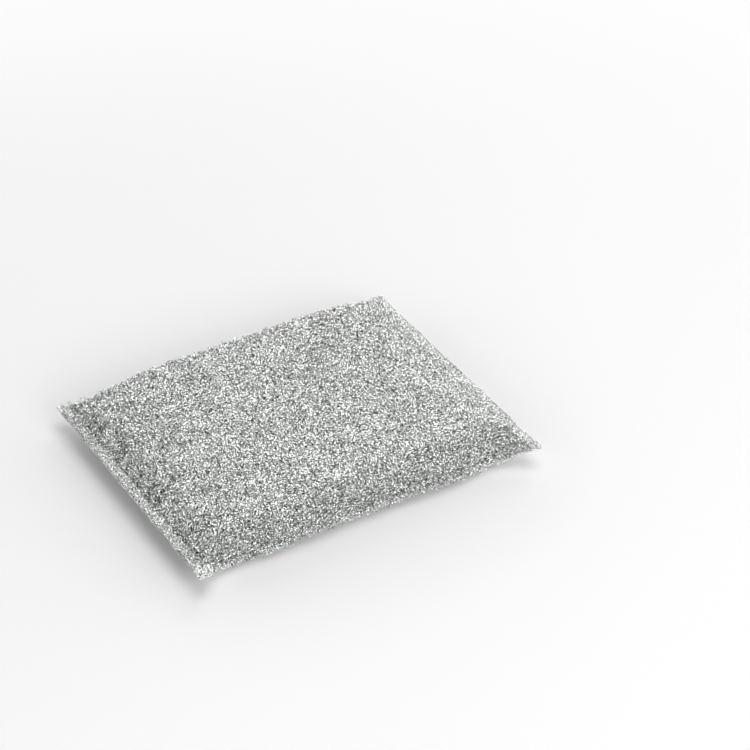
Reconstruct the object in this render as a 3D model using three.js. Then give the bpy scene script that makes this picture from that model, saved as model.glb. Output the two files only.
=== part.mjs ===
// Scouring pad: a foam slab inside a knitted sleeve of metallised yarn. The two open ends of the
// sleeve are pressed flat and fused into hems, so the pad is sealed and is one solid.
// The pad lies on its underside, its length along X, with the origin under its middle.

import * as THREE from 'three';
import { mergeVertices } from 'three/addons/utils/BufferGeometryUtils.js';

// Driving dimensions, in millimetres
const PAD_LENGTH = 120; // from hem edge to hem edge
const FLAT_WIDTH = 96; // the empty sleeve pressed flat, and so each hem
const PAD_THICKNESS = 19; // from the resting face to the top of the crown
const CROWN_RISE = 1; // middle of the top above its long edges
const EDGE_RADIUS = 6; // round of the slab's long edges under the sleeve
const SHOULDER_LENGTH = 20; // from a weld line to full thickness
const KNIT_STRETCH = 0.03; // share by which the slab stretches the sleeve
const SETTLE = 0.35; // how far the underside is pressed flat by what it rests on

// The hems
const HEM_DEPTH = 4; // from the hem's edge to its weld line
const HEM_THICKNESS = 1.6; // both layers of the sleeve, fused
const HEM_HEIGHT = 7.8; // middle of the hem above the resting face
const HEM_EDGE_RADIUS = 0.6;

// The knit: each course is one raised row that runs round the sleeve
const COURSE_PITCH = 1.35;
const COURSE_HEIGHT = 0.4;
const COURSE_FADE = 2.5; // length beside a weld over which the courses come up

// The gathers: small dents in a row beside each weld, where the sleeve draws in
const GATHER_COUNT = 8; // on the top, and again on the underside
const GATHER_DEPTH = 0.8;
const GATHER_REACH = 7; // from the weld line
const SIDE_TUCK = 1.6; // how far each long side draws in there, so that the hem's ends stand out
const SIDE_TUCK_REACH = 24; // from the weld line

// Facets of one section, and the most of a half thickness that a rounded edge may take
const CORNER_FACETS = 3;
const SIDE_FACETS = 1;
const ROUND_LIMIT = 0.8;

const HALF_LENGTH = PAD_LENGTH / 2;
const WELD_X = HALF_LENGTH - HEM_DEPTH;
const HEM_HALF = HEM_THICKNESS / 2;
const HEM_RADIUS = Math.min(HEM_EDGE_RADIUS, ROUND_LIMIT * HEM_HALF);
const BODY_HALF = (PAD_THICKNESS + SETTLE - CROWN_RISE - COURSE_HEIGHT) / 2;
const BODY_RADIUS = Math.min(EDGE_RADIUS, ROUND_LIMIT * BODY_HALF);
const BODY_HEIGHT = BODY_HALF - SETTLE;

// A rounded corner shortens the girth of a rectangle: four of them save this many radii
const CORNER_SAVING = 8 - 2 * Math.PI;
const SLEEVE_GIRTH = 2 * FLAT_WIDTH + 2 * HEM_THICKNESS - CORNER_SAVING * HEM_RADIUS;

const mix = THREE.MathUtils.lerp;
const share = (part, whole) => THREE.MathUtils.clamp(part / whole, 0, 1);

// How full the sleeve is: 0 at the weld line, and 1 from the end of the shoulder on
function fullness(fromWeld) {
  const toGo = 1 - share(fromWeld, SHOULDER_LENGTH);
  return Math.sqrt(1 - toGo * toGo);
}

// How far a long side draws in: nothing at the weld line, most a quarter of its reach further on
function sideTuck(fromWeld) {
  return SIDE_TUCK * Math.sin(Math.PI * Math.sqrt(share(fromWeld, SIDE_TUCK_REACH)));
}

// Section across the pad. The sleeve keeps its girth, so it narrows as it fills, and the hems'
// ends stand out beyond the body.
function sectionSizes(fromWeld) {
  const full = fullness(fromWeld);
  const halfHeight = mix(HEM_HALF, BODY_HALF, full);
  const radius = mix(HEM_RADIUS, BODY_RADIUS, full);
  const girth = SLEEVE_GIRTH * (1 + KNIT_STRETCH * full);
  const halfWidth = (girth + CORNER_SAVING * radius) / 4 - halfHeight - sideTuck(fromWeld);
  return { full, halfHeight, halfWidth, radius, height: mix(HEM_HEIGHT, BODY_HEIGHT, full) };
}

// Rounded rectangle in Y and Z about its own centre, anticlockwise from the foot of its +Y side
function roundedOutline(halfWidth, halfHeight, radius, split) {
  const y = halfWidth - radius;
  const z = halfHeight - radius;
  const point = (across, up) => new THREE.Vector2(across, up);
  const corner = (across, up, turns) => {
    const start = (turns * Math.PI) / 2;
    return new THREE.EllipseCurve(across, up, radius, radius, start, start + Math.PI / 2);
  };
  const runs = [
    [new THREE.LineCurve(point(halfWidth, -z), point(halfWidth, z)), SIDE_FACETS],
    [corner(y, z, 0), CORNER_FACETS],
    [new THREE.LineCurve(point(y, halfHeight), point(-y, halfHeight)), GATHER_COUNT],
    [corner(-y, z, 1), CORNER_FACETS],
    [new THREE.LineCurve(point(-halfWidth, z), point(-halfWidth, -z)), SIDE_FACETS],
    [corner(-y, -z, 2), CORNER_FACETS],
    [new THREE.LineCurve(point(-y, -halfHeight), point(y, -halfHeight)), GATHER_COUNT],
    [corner(y, -z, 3), CORNER_FACETS],
  ];
  return runs.flatMap(([curve, facets]) => curve.getPoints(facets * split).slice(0, -1));
}

// How far a gather draws the sleeve in: nothing at the weld line, nothing past its reach
function gatherDepth(fromWeld) {
  const along = share(fromWeld, GATHER_REACH);
  return 4 * GATHER_DEPTH * along * (1 - along);
}

// One ring of the sleeve. Beside a weld a ring has twice the points, and every second one on the
// top and on the underside is drawn in by a gather. What would reach below the resting face is
// pressed flat against it.
function sleeveRing(x, fromWeld, onCourse) {
  const { full, halfHeight, halfWidth, radius, height } = sectionSizes(fromWeld);
  const raised = onCourse ? COURSE_HEIGHT * share(fromWeld, COURSE_FADE) : 0;
  const gathered = fromWeld < GATHER_REACH;
  const outline = roundedOutline(
    halfWidth + raised,
    halfHeight + raised,
    radius + raised,
    gathered ? 2 : 1,
  );
  return outline.map(({ x: across, y: up }, index) => {
    const onFace = Math.abs(across) < halfWidth - radius;
    const drawnIn = gathered && onFace && index % 2 === 1 ? gatherDepth(fromWeld) : 0;
    const offMiddle = across / (halfWidth + raised);
    const crown = up > 0 ? CROWN_RISE * full * (1 - offMiddle * offMiddle) : 0;
    const z = height + up + crown - Math.sign(up) * drawnIn;
    return new THREE.Vector3(x, across, Math.max(z, 0));
  });
}

// Rings from hem edge to hem edge: the hem and its weld line, then a valley and a course in turn
function sleeveRings() {
  const courses = Math.round((2 * WELD_X) / COURSE_PITCH);
  const halfCourse = WELD_X / courses;
  const rings = [sleeveRing(-HALF_LENGTH, 0, false)];
  for (let step = 0; step <= 2 * courses; step += 1) {
    const x = step * halfCourse - WELD_X;
    const fromWeld = Math.min(step, 2 * courses - step) * halfCourse;
    rings.push(sleeveRing(x, fromWeld, step % 2 === 1));
  }
  rings.push(sleeveRing(HALF_LENGTH, 0, false));
  return rings;
}

// Triangles from one ring to the next along X, where either may have twice the other's points
function bandTriangles(rear, front) {
  const facets = Math.min(rear.length, front.length);
  const pointAt = (ring, facet) => ring[(facet * (ring.length / facets)) % ring.length];
  const triangles = [];
  for (let facet = 0; facet < facets; facet += 1) {
    const rearStart = pointAt(rear, facet);
    const rearEnd = pointAt(rear, facet + 1);
    const frontStart = pointAt(front, facet);
    const frontEnd = pointAt(front, facet + 1);
    if (rear.length > facets) {
      const middle = pointAt(rear, facet + 0.5);
      triangles.push([rearStart, middle, frontStart]);
      triangles.push([middle, frontEnd, frontStart]);
      triangles.push([middle, rearEnd, frontEnd]);
    } else if (front.length > facets) {
      const middle = pointAt(front, facet + 0.5);
      triangles.push([rearStart, middle, frontStart]);
      triangles.push([rearStart, rearEnd, middle]);
      triangles.push([rearEnd, frontEnd, middle]);
    } else {
      triangles.push([rearStart, frontEnd, frontStart]);
      triangles.push([rearStart, rearEnd, frontEnd]);
    }
  }
  return triangles;
}

// Cut end of a hem, which faces along +X or -X
function hemEndTriangles(ring, facesFront) {
  const centre = new THREE.Vector3(ring[0].x, 0, HEM_HEIGHT);
  return ring.map((point, index) => {
    const next = ring[(index + 1) % ring.length];
    return facesFront ? [centre, point, next] : [centre, next, point];
  });
}

function padGeometry() {
  const rings = sleeveRings();
  const triangles = [
    ...hemEndTriangles(rings.at(0), false),
    ...rings.slice(1).flatMap((ring, index) => bandTriangles(rings[index], ring)),
    ...hemEndTriangles(rings.at(-1), true),
  ];
  const geometry = mergeVertices(new THREE.BufferGeometry().setFromPoints(triangles.flat()));
  geometry.computeVertexNormals();
  return geometry;
}

const metalKnit = new THREE.MeshStandardMaterial({ color: 0xa8a9a6, roughness: 0.35, metalness: 0.9 });

const pad = new THREE.Mesh(padGeometry(), metalKnit);
pad.name = 'scrub_pad';

const scrubSponge = new THREE.Group();
scrubSponge.add(pad);

export default scrubSponge;
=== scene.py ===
import math

import bmesh
import bpy
import numpy as np
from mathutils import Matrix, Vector


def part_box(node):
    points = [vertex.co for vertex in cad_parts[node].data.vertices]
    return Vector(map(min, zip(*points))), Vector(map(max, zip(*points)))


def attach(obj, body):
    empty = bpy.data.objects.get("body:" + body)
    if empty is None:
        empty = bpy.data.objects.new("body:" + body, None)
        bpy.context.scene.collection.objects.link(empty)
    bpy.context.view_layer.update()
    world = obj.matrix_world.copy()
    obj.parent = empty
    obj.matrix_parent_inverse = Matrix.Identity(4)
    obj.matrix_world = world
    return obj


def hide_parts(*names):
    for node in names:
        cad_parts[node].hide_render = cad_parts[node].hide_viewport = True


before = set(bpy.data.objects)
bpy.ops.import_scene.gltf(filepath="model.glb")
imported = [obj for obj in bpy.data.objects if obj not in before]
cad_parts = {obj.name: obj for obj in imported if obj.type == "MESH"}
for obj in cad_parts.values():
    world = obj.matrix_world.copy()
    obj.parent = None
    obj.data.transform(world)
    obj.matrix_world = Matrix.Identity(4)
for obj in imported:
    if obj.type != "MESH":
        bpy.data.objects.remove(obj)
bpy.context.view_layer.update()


# Padded sleeve. A tube of close knitted cloth is filled by a foam slab, and its two open ends are
# pressed flat and fused shut. The cloth keeps its girth, so the filled middle is narrower than the
# flat ends, and it gathers beside each weld. It is blown up as cloth until it is tight on the foam.
pad_low, pad_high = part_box("scrub_pad")
half_length = (pad_high.x - pad_low.x) / 2
hem_half_width = (pad_high.y - pad_low.y) / 2
flat_girth = 4 * hem_half_width
pad_thickness = pad_high.z
crown_rise = 0.0010
hem_depth = 0.0040
hem_height = 0.0078
hem_half_thickness = 0.0005
hem_edge_radius = 0.0004
shoulder_length = 0.020
upper_edge_radius = 0.0075
lower_edge_radius = 0.0040
knit_stretch = 0.006
yarn_rise = 0.0006
swell = 0.0015
weld_x = half_length - hem_depth
slab_top = pad_thickness - crown_rise - yarn_rise - swell
body_height = (slab_top + yarn_rise) / 2
body_half_thickness = (slab_top - yarn_rise) / 2
gather_depth = 0.0018
gather_reach = 0.0080
gathers_round = (29, 38, 47)
corner_tuck = 0.0018
tuck_reach = 0.024
ripples = 8
ripple_depth = 0.00022
edge_wave = 0.00022
hem_lift = 0.00035
nick_depth = 0.0013
nick_width = 0.0010
nick_y = -0.0445
# Painted shade beside each weld and along the long sides, where the ground film's colour is darkened.
weld_shade_stops = (0.0024, 0.0034, 0.0060, 0.0110)  # from the hem's edge
least_weld_shade = 0.5
side_turn = 0.25  # share of a turn from the middle of the top to a long side
side_shade_stops = (0.030, 0.060)  # shares of a turn from there
most_side_shade = 0.65
floor_slack = 0.00005
merge_distance = 1e-7
stations = 72
columns = 128
random_cloth = np.random.default_rng(4)
gather_phases = random_cloth.uniform(0, 1, (2, len(gathers_round)))
edge_phases = random_cloth.uniform(0, 1, (2, len(gathers_round)))
ripples_along = random_cloth.integers(5, 14, ripples)
ripples_round = random_cloth.integers(8, 22, ripples) * random_cloth.choice([-1, 1], ripples)
ripple_phases = random_cloth.uniform(0, 1, ripples)


def fullness(x):
    """How far the foam fills the sleeve: 0 at a weld, 1 from the end of the shoulder on."""
    to_go = 1 - np.clip((weld_x - np.abs(x)) / shoulder_length, 0, 1)
    return np.sqrt(1 - to_go**2)


def blend_of(at_weld, at_middle, full):
    """Size between the one at a weld and the one where the sleeve is full."""
    return at_weld + (at_middle - at_weld) * full


def even_stations(count):
    """Places along the pad with the same length of cloth between each two, over the top."""
    fine_steps = 4000
    x = np.linspace(-half_length, half_length, fine_steps + 1)
    top = blend_of(0, body_half_thickness, fullness(x))
    cloth = np.concatenate([[0], np.cumsum(np.hypot(np.diff(x), np.diff(top)))])
    return np.interp(np.linspace(0, cloth[-1], count + 1), cloth, x), cloth[-1]


def uneven(turn, end, phases):
    """Uneven wave between -1 and 1 round the sleeve, another one at each end."""
    waves = [
        np.cos(2 * math.pi * (count * turn + phases[end, k]))
        for k, count in enumerate(gathers_round)
    ]
    return sum(waves) / len(waves)


def slow_ripple(x, turn):
    """Gentle uneven swell of the cloth over the slab, between about -1 and 1."""
    share = x / (2 * half_length)
    waves = np.cos(2 * math.pi * (ripples_along * share + ripples_round * turn + ripple_phases))
    return waves.sum() / (ripples / 2)


def drawn_in(x, reach):
    """How far the sleeve draws in beside a weld: nothing at the weld and past the reach, 1 between."""
    from_weld = max(weld_x - abs(x), 0)
    return math.sin(math.pi * math.sqrt(min(from_weld / reach, 1)))


def sleeve_section(x):
    """Half thickness, half width and edge radii of the filled sleeve at x, which keeps its girth."""
    full = fullness(x)
    half_up = blend_of(hem_half_thickness, body_half_thickness, full)
    upper_radius = blend_of(hem_edge_radius, upper_edge_radius, full)
    lower_radius = blend_of(hem_edge_radius, lower_edge_radius, full)
    corner_saving = 4 - math.pi
    girth = 4 * (hem_half_width + hem_half_thickness) - 2 * corner_saving * hem_edge_radius
    stretched = girth * (1 + knit_stretch * full)
    half_across = (stretched + corner_saving * (upper_radius + lower_radius)) / 4 - half_up
    half_across -= corner_tuck * drawn_in(x, tuck_reach)
    return half_up, half_across, upper_radius, lower_radius


def hem_move(x, across):
    """How far a hem's uneven edge stands out and up from its plain place, with one nick in it."""
    end = int(x > 0)
    in_hem = max(abs(x) - weld_x, 0) / hem_depth
    share_across = across / flat_girth
    edge = edge_wave * uneven(share_across, end, edge_phases)
    if end == 0:
        edge -= nick_depth * math.exp(-(((across - nick_y) / nick_width) ** 2))
    lift = hem_lift * uneven(share_across, end, gather_phases)
    return math.copysign(in_hem, x) * edge, in_hem * lift


def sleeve_point(x, turn):
    """Point of the filled sleeve at x, a share of a full turn round it from the top's middle."""
    full = fullness(x)
    half_up, half_across, upper_radius, lower_radius = sleeve_section(x)
    quarter_turn = (4 * turn) % 4
    on_top = quarter_turn < 1 or quarter_turn >= 3
    radius = upper_radius if on_top else lower_radius
    flat = half_across - radius
    side = half_up - radius
    arc = math.pi / 2 * radius
    from_middle = quarter_turn % 1 if quarter_turn % 2 < 1 else 1 - quarter_turn % 1
    cloth = from_middle * (flat + arc + side)
    lean = np.clip((cloth - flat) / radius, 0, math.pi / 2)
    ripple = ripple_depth * full * (1 - from_middle**6) * slow_ripple(x, turn) if on_top else 0
    across = min(cloth, flat) + (radius + ripple) * math.sin(lean)
    up = side + (radius + ripple) * math.cos(lean) - max(cloth - flat - arc, 0)
    across = across if quarter_turn < 2 else -across
    crown = crown_rise * full * (1 - (across / half_across) ** 2)
    pinch = drawn_in(x, gather_reach) * max(uneven(turn, int(x > 0), gather_phases), 0)
    if up > hem_half_thickness:
        up = max(up - gather_depth * pinch, hem_half_thickness)
    height = blend_of(hem_height, body_height, full)
    edge_move, lift = hem_move(x, across)
    return x + edge_move, across, height + (up + crown if on_top else -up) + lift


def painted_shade(x, turn):
    """Painted shade on the ground film: how far its colour is darkened beside a weld, where the valley
    lies in shade, and along the long sides.
    """
    from_edge = half_length - abs(x)
    pinch = max(uneven(turn, int(x > 0), gather_phases), 0)
    shade_beside_weld = np.interp(from_edge, weld_shade_stops, (0, 1, 1, 0))
    from_side = abs(turn % (2 * side_turn) - side_turn)
    shade_on_side = np.interp(from_side, side_shade_stops, (most_side_shade, 0))
    shade_on_side *= from_edge > weld_shade_stops[1]
    return max(shade_beside_weld * min(least_weld_shade + pinch, 1), shade_on_side)


def new_piece(name, mesh, material):
    """An object at the origin that shows the mesh in one material and rides on the pad's body."""
    piece = bpy.data.objects.new(name, mesh)
    bpy.context.scene.collection.objects.link(piece)
    mesh.materials.clear()
    mesh.materials.append(material)
    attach(piece, "root")
    return piece


station_x, cloth_length = even_stations(stations)
sheet = bmesh.new()
sheet.loops.layers.uv.new("OFBake")
bmesh.ops.create_grid(sheet, x_segments=stations, y_segments=columns, size=1, calc_uvs=True)
station_layer = sheet.verts.layers.int.new("station")
column_layer = sheet.verts.layers.int.new("column")
# Painted shade for the film's colour, one value per point.
painted_shade_layer = sheet.verts.layers.float.new("painted_shade")
for vert in sheet.verts:
    station = round((vert.co.x + 1) / 2 * stations)
    column = round((vert.co.y + 1) / 2 * columns) % columns
    vert[station_layer] = station
    vert[column_layer] = column
    vert[painted_shade_layer] = painted_shade(station_x[station], column / columns)
    vert.co = sleeve_point(station_x[station], column / columns)
bmesh.ops.remove_doubles(sheet, verts=sheet.verts, dist=merge_distance)
side_columns = (columns // 4, 3 * columns // 4)
rim = [edge for edge in sheet.edges if edge.is_boundary]
rim_halves = [edge for edge in rim if max(v[column_layer] for v in edge.verts) not in side_columns]
for station in (0, stations):
    end_edges = [edge for edge in rim_halves if edge.verts[0][station_layer] == station]
    bmesh.ops.bridge_loops(sheet, edges=end_edges)
bmesh.ops.recalc_face_normals(sheet, faces=sheet.faces)
for face in sheet.faces:
    face.smooth = True
ground_mesh = bpy.data.meshes.new("pad_body")
sheet.to_mesh(ground_mesh)
sheet.free()

film_tint = (0.985, 1.0, 0.982)
patch_size = 0.006
patch_noise = (0.35, 0.65)
patch_levels = (0.94, 1.0)
# Share of its colour that the film keeps where the painted shade is full.
painted_shade_level = 0.25


def node_setup(name):
    """A new material, its node tree and its shader."""
    material = bpy.data.materials.new(name)
    material.use_nodes = True
    tree = material.node_tree
    return material, tree, tree.nodes["Principled BSDF"]


def value_on(tree, operation, first, second):
    """A value worked out from two others."""
    node = tree.nodes.new("ShaderNodeMath")
    node.operation = operation
    tree.links.new(first, node.inputs[0])
    tree.links.new(second, node.inputs[1])
    return node.outputs["Value"]


def vector_on(tree, operation, first):
    """Node that works on a vector."""
    node = tree.nodes.new("ShaderNodeVectorMath")
    node.operation = operation
    tree.links.new(first, node.inputs[0])
    return node


def range_on(tree, source, to_range, from_range=(0, 1), course="LINEAR"):
    """A value spread from one range over another."""
    spread = tree.nodes.new("ShaderNodeMapRange")
    spread.interpolation_type = course
    ends = ("From Min", "From Max", "To Min", "To Max")
    for end, value in zip(ends, (*from_range, *to_range)):
        spread.inputs[end].default_value = value
    tree.links.new(source, spread.inputs["Value"])
    return spread.outputs["Result"]


def ramp_on(tree, source, stops, tint):
    """Colour ramp with the given places and levels of one tint."""
    ramp = tree.nodes.new("ShaderNodeValToRGB")
    elements = ramp.color_ramp.elements
    while len(elements) < len(stops):
        elements.new(0.5)
    for element, (place, level) in zip(elements, stops):
        element.position = place
        element.color = (level * tint[0], level * tint[1], level * tint[2], 1)
    tree.links.new(source, ramp.inputs["Fac"])
    return ramp.outputs["Color"]


def flecks_on(tree, place, fleck_size):
    """Cells of about one size in space, each with random values of its own."""
    cells = tree.nodes.new("ShaderNodeTexVoronoi")
    cells.inputs["Scale"].default_value = 1 / fleck_size
    tree.links.new(place.outputs["Object"], cells.inputs["Vector"])
    parts = tree.nodes.new("ShaderNodeSeparateColor")
    tree.links.new(cells.outputs["Color"], parts.inputs["Color"])
    return cells, parts


def patches_on(tree, place):
    """Slow change of level over the knit, where it lies closer or looser."""
    noise = tree.nodes.new("ShaderNodeTexNoise")
    noise.inputs["Scale"].default_value = 1 / patch_size
    noise.inputs["Detail"].default_value = 2
    tree.links.new(place.outputs["Object"], noise.inputs["Vector"])
    return range_on(tree, noise.outputs["Fac"], patch_levels, patch_noise)


def tilt_flecks(tree, cells, shader, crumple):
    """Turn the surface a little in each fleck, as crumpled film is turned."""
    centred = vector_on(tree, "SUBTRACT", cells.outputs["Color"])
    centred.inputs[1].default_value = (0.5, 0.5, 0.5)
    scaled = vector_on(tree, "SCALE", centred.outputs["Vector"])
    scaled.inputs["Scale"].default_value = crumple
    surface = tree.nodes.new("ShaderNodeNewGeometry")
    added = vector_on(tree, "ADD", surface.outputs["Normal"])
    tree.links.new(scaled.outputs["Vector"], added.inputs[1])
    unit = vector_on(tree, "NORMALIZE", added.outputs["Vector"])
    tree.links.new(unit.outputs["Vector"], shader.inputs["Normal"])


def film_finish(name, fleck_size, levels, rough, crumple):
    """Metallised film: flecks of many greys, each turned and polished a little differently. The greys
    are painted reflection: dark flecks stand in for facets that mirror shade, pale ones for facets
    that catch the light.
    """
    material, tree, shader = node_setup(name)
    place = tree.nodes.new("ShaderNodeTexCoord")
    cells, parts = flecks_on(tree, place, fleck_size)
    # Painted reflection: each fleck gets a grey from near black to white.
    greys = ramp_on(tree, parts.outputs["Red"], levels, film_tint)
    # Painted shade: the colour is darkened by the point attribute that marks the shaded valley and
    # sides, on the ground only.
    painted_shade_amount = tree.nodes.new("ShaderNodeAttribute")
    painted_shade_amount.attribute_name = "painted_shade"
    painted_shade_scale = range_on(tree, painted_shade_amount.outputs["Fac"], (1.0, painted_shade_level))
    shaded = vector_on(tree, "SCALE", greys)
    level = value_on(tree, "MULTIPLY", patches_on(tree, place), painted_shade_scale)
    tree.links.new(level, shaded.inputs["Scale"])
    tree.links.new(shaded.outputs["Vector"], shader.inputs["Base Color"])
    tree.links.new(range_on(tree, parts.outputs["Green"], rough), shader.inputs["Roughness"])
    tilt_flecks(tree, cells, shader, crumple)
    shader.inputs["Metallic"].default_value = 1.0
    return material


# The ground film has more and darker dark flecks than the tape: painted shade in the gaps between the
# rows.
ground_finish = film_finish(
    "ground_film",
    fleck_size=0.00030,
    levels=[(0.12, 0.03), (0.26, 0.92)],
    rough=(0.1, 0.35),
    crumple=1.2,
)
pad_body = new_piece("pad_body", ground_mesh, ground_finish)
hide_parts("scrub_pad")


def points_of(mesh):
    """All of a mesh's points, one in each row."""
    places = np.empty(len(mesh.vertices) * 3, np.float32)
    mesh.vertices.foreach_get("co", places)
    return places.reshape(-1, 3).astype(float)


def blow_up(piece, held, pressure, growth, frames, most_move):
    """Run the piece as cloth under inner pressure, with some points held, and keep the result."""
    before = points_of(piece.data)
    group = piece.vertex_groups.new(name="held")
    group.add([int(k) for k in np.flatnonzero(held)], 1.0, "REPLACE")
    cloth = piece.modifiers.new("blow_up", "CLOTH")
    cloth.settings.vertex_group_mass = group.name
    cloth.settings.use_pressure = True
    cloth.settings.uniform_pressure_force = pressure
    cloth.settings.shrink_min = -growth
    cloth.settings.effector_weights.gravity = 0
    cloth.collision_settings.use_collision = False
    cloth.point_cache.frame_end = frames
    for number in range(1, frames + 1):
        bpy.context.scene.frame_set(number)
    after = points_of(piece.evaluated_get(bpy.context.evaluated_depsgraph_get()).data)
    bpy.context.scene.frame_set(1)
    piece.modifiers.remove(cloth)
    piece.vertex_groups.remove(group)
    move = after - before
    reach = np.linalg.norm(move, axis=1, keepdims=True)
    after = before + move * np.minimum(1, most_move / np.maximum(reach, 1e-9))
    piece.data.vertices.foreach_set("co", after.astype(np.float32).ravel())
    piece.data.update()


ground_start = points_of(ground_mesh)
in_hems = np.abs(ground_start[:, 0]) > weld_x
on_floor = ground_start[:, 2] < yarn_rise + floor_slack
blow_up(pad_body, in_hems | on_floor, pressure=4, growth=0.02, frames=20, most_move=swell)
smooth_cloth = pad_body.modifiers.new("smooth_cloth", "SUBSURF")
smooth_cloth.levels = 1
smooth_cloth.render_levels = 1


# Knitted rows. Silver film tape is knitted in rows that run round the sleeve, each row a ring of
# loops that hook through the rows beside it. The tape is flat, and it turns and buckles at every
# bend, so the light catches a new facet each third of a millimetre.
row_pitch = 0.00135
stitch_pitch = 0.00192
stitches = round(flat_girth / stitch_pitch)
points_per_stitch = 10
loop_height = 0.00080
loop_neck = 0.14 * stitch_pitch
loop_change = 0.25
tape_width = 0.00042
tape_thickness = 0.00014
tape_change = 0.15
tape_jitter = 0.00014
tape_twist = 1.0
row_drift = 0.00018
row_lift = 0.00024
crossing_lift = 0.00010
lift_jitter = 0.00013
lift_drift = 0.00008
least_lift = 0.00005
floor_gap = 0.7 * tape_width
weld_margin = 0.0010
side_thinning = 0.3
side_reach = 0.035  # share of a turn
valley_thinning = 0.35
valley_stops = (0.0026, 0.0038, 0.0062, 0.0100)  # from the hem's edge
knit_groups = 4
random_knit = np.random.default_rng(11)

ground_points = np.zeros((stations + 1, columns, 3))
ground_count = len(ground_mesh.vertices)
ground_station = np.zeros(ground_count, np.int32)
ground_column = np.zeros(ground_count, np.int32)
ground_mesh.attributes["station"].data.foreach_get("value", ground_station)
ground_mesh.attributes["column"].data.foreach_get("value", ground_column)
ground_points[ground_station, ground_column] = points_of(ground_mesh)
along_step = np.gradient(ground_points, axis=0)
round_step = np.roll(ground_points, -1, axis=1) - np.roll(ground_points, 1, axis=1)
ground_normals = np.cross(along_step, round_step)
ground_normals /= np.linalg.norm(ground_normals, axis=-1, keepdims=True)


def on_ground(along, turn):
    """Place and outward direction on the sleeve, by shares of its length and of a turn."""
    station = np.clip(along, 0, 1) * stations
    column = (turn % 1) * columns
    station_before = np.minimum(station.astype(int), stations - 1)
    column_before = column.astype(int) % columns
    column_after = (column_before + 1) % columns
    past_station = (station - station_before)[..., None]
    past_column = (column - np.floor(column))[..., None]

    def mixed(grid):
        rows = [
            grid[row, column_before] * (1 - past_column) + grid[row, column_after] * past_column
            for row in (station_before, station_before + 1)
        ]
        return rows[0] * (1 - past_station) + rows[1] * past_station

    normal = mixed(ground_normals)
    normal /= np.linalg.norm(normal, axis=-1, keepdims=True)
    return mixed(ground_points), normal


def soft_noise(shape, reach):
    """Random numbers about 0, alike over a few neighbours along the last axis."""
    raw = random_knit.normal(size=shape)
    weights = np.hanning(2 * reach + 1)
    weights /= np.sqrt((weights**2).sum())
    return sum(w * np.roll(raw, k - reach, axis=-1) for k, w in enumerate(weights))


def section_of(name, outline):
    """Closed outline that a strand is drawn with."""
    section = bpy.data.curves.new(name, "CURVE")
    spline = section.splines.new("POLY")
    spline.points.add(len(outline) - 1)
    for point, (across, up) in zip(spline.points, outline):
        point.co = (across, up, 0, 1)
    spline.use_cyclic_u = True
    return bpy.data.objects.new(name, section)


def close_ends(mesh):
    """Merge the points at each end of a strand, where it has run out to nothing."""
    work = bmesh.new()
    work.from_mesh(mesh)
    bmesh.ops.remove_doubles(work, verts=work.verts, dist=merge_distance)
    work.to_mesh(mesh)
    work.free()


def lay_strips(strip_map, strands, strips_across):
    """Give every strand a strip of its own on the map, with a margin round it."""
    margin = 0.05
    places = np.empty(len(strip_map.uv) * 2, np.float32)
    strip_map.uv.foreach_get("vector", places)
    places = places.reshape(strands, -1, 2)
    strip = np.arange(strands)[:, None]
    strips_up = math.ceil(strands / strips_across)
    inside = margin + (1 - 2 * margin) * places
    places[..., 0] = (strip % strips_across + inside[..., 0]) / strips_across
    places[..., 1] = (strip // strips_across + inside[..., 1]) / strips_up
    strip_map.uv.foreach_set("vector", places.ravel())


def sweep(name, paths, tilts, radii, section, closed, twist="MINIMUM", strips_across=1):
    """Mesh of a strand drawn along each path."""
    curve = bpy.data.curves.new(name, "CURVE")
    curve.dimensions = "3D"
    curve.bevel_mode = "OBJECT"
    curve.bevel_object = section
    curve.twist_mode = twist
    for path, tilt, radius in zip(paths, tilts, radii):
        spline = curve.splines.new("POLY")
        spline.points.add(len(path) - 1)
        spline.points.foreach_set("co", np.c_[path, np.ones(len(path))].ravel())
        spline.points.foreach_set("tilt", tilt)
        spline.points.foreach_set("radius", radius)
        spline.use_cyclic_u = closed
        spline.use_smooth = False
    holder = bpy.data.objects.new(name, curve)
    bpy.context.scene.collection.objects.link(holder)
    ready = holder.evaluated_get(bpy.context.evaluated_depsgraph_get())
    mesh = bpy.data.meshes.new_from_object(ready)
    bpy.data.objects.remove(holder)
    bpy.data.curves.remove(curve)
    mesh.uv_layers[0].name = "OFBake"
    lay_strips(mesh.uv_layers[0], len(paths), strips_across)
    if not closed:
        close_ends(mesh)
    return mesh


tape_outline = [(-tape_width / 2, 0), (0, tape_thickness), (tape_width / 2, 0)]
tape = section_of("tape_section", tape_outline)
# Tape film: its fleck greys are painted reflection, mostly pale with a few dark.
tape_finish = film_finish(
    "film_tape",
    fleck_size=0.00034,
    levels=[(0.13, 0.02), (0.17, 0.97), (0.32, 1.0)],
    rough=(0.02, 0.12),
    crumple=0.5,
)

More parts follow.
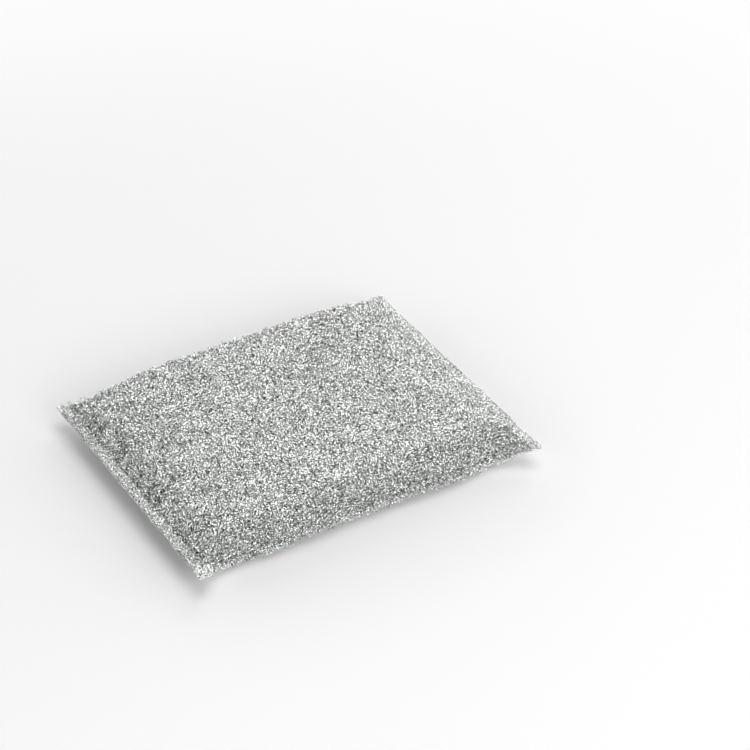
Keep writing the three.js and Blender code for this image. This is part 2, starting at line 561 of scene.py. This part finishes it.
weld_share = np.interp(-weld_x - weld_margin, station_x, np.linspace(0, 1, stations + 1))
knit_share = 1 - 2 * weld_share
rows = round(cloth_length * knit_share / row_pitch)
row_at = weld_share + knit_share * (np.arange(rows)[:, None] + 0.5) / rows
step = np.arange(stitches * points_per_stitch)
phase = 2 * math.pi * step / points_per_stitch
row_size = (rows, len(step))
along_by = -loop_height * (1 + loop_change * soft_noise(row_size, reach=6)) * np.cos(phase)
along_by += tape_jitter * soft_noise(row_size, reach=1) + row_drift * soft_noise(row_size, reach=24)
round_by = loop_neck * np.sin(2 * phase) + tape_jitter * soft_noise(row_size, reach=1)
out_by = row_lift + crossing_lift * np.cos(2 * phase) + lift_jitter * soft_noise(row_size, reach=1)
out_by += lift_drift * soft_noise(row_size, reach=12)
row_along = np.clip(row_at + along_by / cloth_length, weld_share, 1 - weld_share)
row_turn = step / len(step) + round_by / (stitches * stitch_pitch)
row_place, row_normal = on_ground(row_along, row_turn)
row_place += row_normal * np.maximum(out_by, least_lift)[..., None]
row_place[..., 2] = np.maximum(row_place[..., 2], floor_gap)
row_tilt = tape_twist * soft_noise(row_size, reach=1)
row_radius = 1 + tape_change * soft_noise(row_size, reach=2)
row_from_side = np.abs(row_turn % 1 - 2 * side_turn) - side_turn
row_radius *= 1 - side_thinning * np.exp(-((row_from_side / side_reach) ** 2))
row_from_edge = half_length - np.abs(row_place[..., 0])
row_radius *= 1 - valley_thinning * np.interp(row_from_edge, valley_stops, (0, 1, 1, 0))

for group in range(knit_groups):
    part = slice(group * rows // knit_groups, (group + 1) * rows // knit_groups)
    name = f"knit_rows_{group + 1}"
    mesh = sweep(name, row_place[part], row_tilt[part], row_radius[part], tape, closed=True)
    new_piece(name, mesh, tape_finish)


# Welded hems. At each end the two layers of the sleeve are pressed flat and fused by heat. The rows
# lie closer and flatter there, and the outer edge has melted into a thin, uneven bead.
hem_rows = 6
hem_wave = 0.00032
hem_jitter = 0.00012
hem_rise = 0.00004
hem_rise_jitter = 0.00005
hem_twist = 0.35
hem_spread = 1.1
bead_sides = 6
bead_half_width = 0.00036
bead_half_height = 0.00060
bead_half_turn = 0.249  # share of a turn, just short of the long side
bead_points = 160
bead_sway = 0.00006
bead_dip = 0.00005
bead_change = 0.14
# The weld film's dark flecks are fewer and paler than the tape's: painted light on the flat hem, which
# the light from above falls on.
weld_finish = film_finish(
    "film_weld",
    fleck_size=0.00022,
    levels=[(0.04, 0.10), (0.14, 1.0)],
    rough=(0.10, 0.28),
    crumple=0.8,
)
# The bead film is darker than the weld film: painted shade along the hem's outer rim, under its edge.
bead_shaded_finish = film_finish(
    "film_bead_shaded",
    fleck_size=0.00022,
    levels=[(0.1, 0.08), (0.8, 0.8)],
    rough=(0.15, 0.35),
    crumple=0.9,
)

hem_at = weld_share * (np.arange(hem_rows) + 0.5) / hem_rows
hem_at = np.concatenate([hem_at, 1 - hem_at])[:, None]
hem_size = (2 * hem_rows, len(step))
hem_along = hem_wave * np.cos(phase + 2 * math.pi * random_knit.uniform(size=(2 * hem_rows, 1)))
hem_along = hem_at + (hem_along + hem_jitter * soft_noise(hem_size, reach=2)) / cloth_length
hem_turn = step / len(step) + hem_jitter * soft_noise(hem_size, reach=2) / (stitches * stitch_pitch)
hem_place, hem_normal = on_ground(hem_along, hem_turn)
hem_place += hem_normal * (hem_rise + hem_rise_jitter * soft_noise(hem_size, reach=2))[..., None]
hem_tilt = hem_twist * soft_noise(hem_size, reach=2)
hem_radius = hem_spread + tape_change * soft_noise(hem_size, reach=3)
mesh = sweep("hem_rows", hem_place, hem_tilt, hem_radius, tape, closed=True, twist="Z_UP")
new_piece("hem_rows", mesh, weld_finish)

bead_corners = -2 * math.pi * np.arange(bead_sides) / bead_sides
bead_outline = np.c_[bead_half_width * np.cos(bead_corners), bead_half_height * np.sin(bead_corners)]
bead_section = section_of("bead_section", bead_outline)
bead_turn = np.linspace(-bead_half_turn, bead_half_turn, bead_points)
bead_end = np.repeat([[0.0], [1.0]], bead_points, axis=1)
bead_upper, _ = on_ground(bead_end, np.tile(bead_turn, (2, 1)))
bead_lower, _ = on_ground(bead_end, np.tile(2 * side_turn - bead_turn, (2, 1)))
bead_size = (2, bead_points)
bead_path = (bead_upper + bead_lower) / 2
bead_path[..., 0] += bead_sway * soft_noise(bead_size, reach=3)
bead_path[..., 2] += bead_dip * soft_noise(bead_size, reach=3)
bead_tilt = np.zeros(bead_size)
bead_radius = 1 + bead_change * soft_noise(bead_size, reach=2)
bead_radius[:, [0, -1]] = 0
mesh = sweep("hem_beads", bead_path, bead_tilt, bead_radius, bead_section, closed=False, twist="Z_UP")
new_piece("hem_beads", mesh, bead_shaded_finish)


# Loose curls. The tape is springy, so all over the pad short arches of it stand up out of the knit,
# most of all along the long sides, where the sleeve is bent round the slab.
top_curls = 5800
side_curls = 3200
curl_shape = np.linspace(-1, 1, 7)
curl_arch = 1 - curl_shape**2
curl_taper = np.array([0, 0.85, 1, 1, 1, 0.85, 0])
curl_widths = (0.6, 1.0)
curl_twist = 1.0
curl_lift = 0.00015
curl_bend = 0.00020
curl_crumple = 0.00011
random_curl = np.random.default_rng(23)


def spread_curls(places, normals, length, rise, bend, crumple):
    """Paths of short arches that leave the knit, rise and dip into it again."""
    count = len(places)
    heading = random_curl.uniform(0, 2 * math.pi, count)
    aside = np.cross(normals, (1.0, 0.0, 0.0))
    aside /= np.linalg.norm(aside, axis=1, keepdims=True)
    onward = np.cross(aside, normals)
    ahead = onward * np.cos(heading)[:, None] + aside * np.sin(heading)[:, None]
    across = np.cross(normals, ahead)
    half = random_curl.uniform(*length, (count, 1)) / 2
    high = random_curl.uniform(*rise, (count, 1))
    swing = random_curl.normal(0, bend, (count, 1))
    paths = places[:, None] + ahead[:, None] * (half * curl_shape)[..., None]
    paths += across[:, None] * (swing * curl_arch)[..., None]
    paths += normals[:, None] * (high * curl_arch)[..., None]
    return paths + random_curl.normal(0, crumple, paths.shape)


def curl_piece(name, paths, material):
    """Piece of many short curls, each thin at both ends."""
    paths[..., 2] = np.maximum(paths[..., 2], tape_width / 2)
    tilts = random_curl.normal(0, curl_twist, paths.shape[:2])
    radii = curl_taper * random_curl.uniform(*curl_widths, (len(paths), 1))
    across = math.ceil(math.sqrt(len(paths)))
    mesh = sweep(name, paths, tilts, radii, tape, closed=False, strips_across=across)
    new_piece(name, mesh, material)


def curls_round(count, turns, length, rise):
    """Paths of curls spread along the pad, within some shares of a turn on both halves of it."""
    along = random_curl.uniform(weld_share, 1 - weld_share, count)
    turn = random_curl.uniform(*turns, count) * random_curl.choice([-1, 1], count)
    base, normal = on_ground(along, turn)
    return spread_curls(base + curl_lift * normal, normal, length, rise, curl_bend, curl_crumple)


top_paths = curls_round(top_curls, turns=(0, 0.24), length=(0.0007, 0.0015), rise=(0.00025, 0.00080))
curl_piece("top_curls", top_paths, tape_finish)
side_paths = curls_round(
    side_curls, turns=(0.20, 0.30), length=(0.0008, 0.0016), rise=(0.00045, 0.00130)
)
curl_piece("side_curls", side_paths, tape_finish)


# Frayed corners. Where the weld meets the fold at each corner, cut ends of the tape stick out in a
# small tuft. One corner, beside a nick in the weld, has frayed more than the others.
small_tuft = {"strands": 60, "reach": 0.0030}
frayed_tuft = {"strands": 320, "reach": 0.0045}
corner_tufts = [(-1, -1, frayed_tuft), (-1, 1, small_tuft), (1, -1, small_tuft), (1, 1, small_tuft)]
tuft_lean_out = 0.5
tuft_lean_aside = 0.3
tuft_scatter = 0.3
tuft_length = (0.0010, 0.0020)
tuft_rise = (0.0003, 0.0011)
tuft_bend = 0.0003
tuft_crumple = 0.00008
# The fray film has almost no dark flecks: painted highlight, the bright glints of the corner tufts.
fray_finish = film_finish(
    "film_fray",
    fleck_size=0.00030,
    levels=[(0.0, 0.8), (0.2, 1.0)],
    rough=(0.04, 0.20),
    crumple=0.7,
)

tuft_paths = []
for end_x, end_y, tuft in corner_tufts:
    inward = np.abs(random_curl.normal(0, tuft["reach"] / 2, (tuft["strands"], 2)))
    tuft_turn = end_y * (side_turn - inward[:, 1] / flat_girth)
    tuft_along = inward[:, 0] / cloth_length
    tuft_base, tuft_normal = on_ground(tuft_along if end_x < 0 else 1 - tuft_along, tuft_turn)
    tuft_normal = tuft_normal + np.array([tuft_lean_out * end_x, tuft_lean_aside * end_y, 0.0])
    tuft_normal += random_curl.normal(0, tuft_scatter, tuft_normal.shape)
    tuft_normal /= np.linalg.norm(tuft_normal, axis=1, keepdims=True)
    tuft_paths.append(
        spread_curls(tuft_base, tuft_normal, tuft_length, tuft_rise, tuft_bend, tuft_crumple)
    )
curl_piece("corner_tufts", np.concatenate(tuft_paths), fray_finish)


# Studio. A pale floor, which away from the pad runs out to the plain white of the backdrop, a ring
# of light low round the pad, a broad soft lamp above it and two smaller ones in front and on the
# right, and a camera that looks down on the pad over one corner.
floor_half_width = 3
floor_colour = (0.97, 0.97, 0.97, 1)
floor_roughness = 0.9
floor_to_white = (0.09, 0.40)
pad_middle = Vector((0, 0, 0))
white = (1, 1, 1)
sweep_levels = [(0.12, 1.0), (0.20, 1.55), (0.44, 1.55), (0.56, 0.05)]
view_azimuth = math.radians(-31.12)
view_elevation = math.radians(36.29)
view_distance = 0.8553
view_target = Vector((0.04113, 0.02047, 0))

floor_mesh = bpy.data.meshes.new("floor")
floor_sheet = bmesh.new()
bmesh.ops.create_grid(floor_sheet, x_segments=1, y_segments=1, size=floor_half_width)
floor_sheet.to_mesh(floor_mesh)
floor_sheet.free()
floor = bpy.data.objects.new("floor", floor_mesh)
bpy.context.scene.collection.objects.link(floor)
floor_material, floor_tree, floor_shader = node_setup("floor_paint")
floor_shader.inputs["Base Color"].default_value = floor_colour
floor_shader.inputs["Roughness"].default_value = floor_roughness
floor_place = floor_tree.nodes.new("ShaderNodeTexCoord")
off_middle = vector_on(floor_tree, "LENGTH", floor_place.outputs["Object"])
runs_out = range_on(floor_tree, off_middle.outputs["Value"], (0, 1), floor_to_white, "SMOOTHSTEP")
ray = floor_tree.nodes.new("ShaderNodeLightPath").outputs
mirrored = value_on(floor_tree, "MAXIMUM", ray["Is Glossy Ray"], ray["Is Transmission Ray"])
seen = value_on(floor_tree, "MAXIMUM", ray["Is Camera Ray"], mirrored)
white_share = value_on(floor_tree, "MULTIPLY", runs_out, seen)
backdrop_white = floor_tree.nodes.new("ShaderNodeEmission")
floor_mix = floor_tree.nodes.new("ShaderNodeMixShader")
floor_tree.links.new(white_share, floor_mix.inputs["Fac"])
floor_tree.links.new(floor_shader.outputs["BSDF"], floor_mix.inputs[1])
floor_tree.links.new(backdrop_white.outputs["Emission"], floor_mix.inputs[2])
floor_output = floor_tree.nodes["Material Output"]
floor_tree.links.new(floor_mix.outputs["Shader"], floor_output.inputs["Surface"])
floor_mesh.materials.append(floor_material)


def soft_lamp(name, place, width, power):
    """Square soft lamp that looks at the pad."""
    light = bpy.data.lights.new(name, "AREA")
    light.size = width
    light.energy = power
    lamp = bpy.data.objects.new(name, light)
    lamp.location = place
    lamp.rotation_euler = (pad_middle - Vector(place)).to_track_quat("-Z", "Y").to_euler()
    bpy.context.scene.collection.objects.link(lamp)


soft_lamp("overhead_lamp", (0.12, -0.20, 0.98), width=0.75, power=4.5)
soft_lamp("front_lamp", (0.00, -1.00, 0.58), width=0.5, power=3.1)
soft_lamp("right_lamp", (0.75, 0.55, 0.80), width=0.5, power=2.0)

world = bpy.data.worlds.new("studio")
world.use_nodes = True
world_tree = world.node_tree
direction = world_tree.nodes.new("ShaderNodeTexCoord")
height_of = world_tree.nodes.new("ShaderNodeSeparateXYZ")
world_tree.links.new(direction.outputs["Generated"], height_of.inputs["Vector"])
sweep_light = ramp_on(world_tree, height_of.outputs["Z"], sweep_levels, white)
world_tree.links.new(sweep_light, world_tree.nodes["Background"].inputs["Color"])
bpy.context.scene.world = world

view_back = Vector((
    math.sin(view_azimuth) * math.cos(view_elevation),
    -math.cos(view_azimuth) * math.cos(view_elevation),
    math.sin(view_elevation),
))
camera_data = bpy.data.cameras.new("camera")
camera_data.sensor_width = 36
camera_data.lens = 124.8
camera_data.clip_start = 0.01
camera = bpy.data.objects.new("camera", camera_data)
camera.location = view_target + view_back * view_distance
camera.rotation_euler = (-view_back).to_track_quat("-Z", "Y").to_euler()
bpy.context.scene.collection.objects.link(camera)
bpy.context.scene.camera = camera
bpy.context.scene.view_settings.view_transform = "Standard"
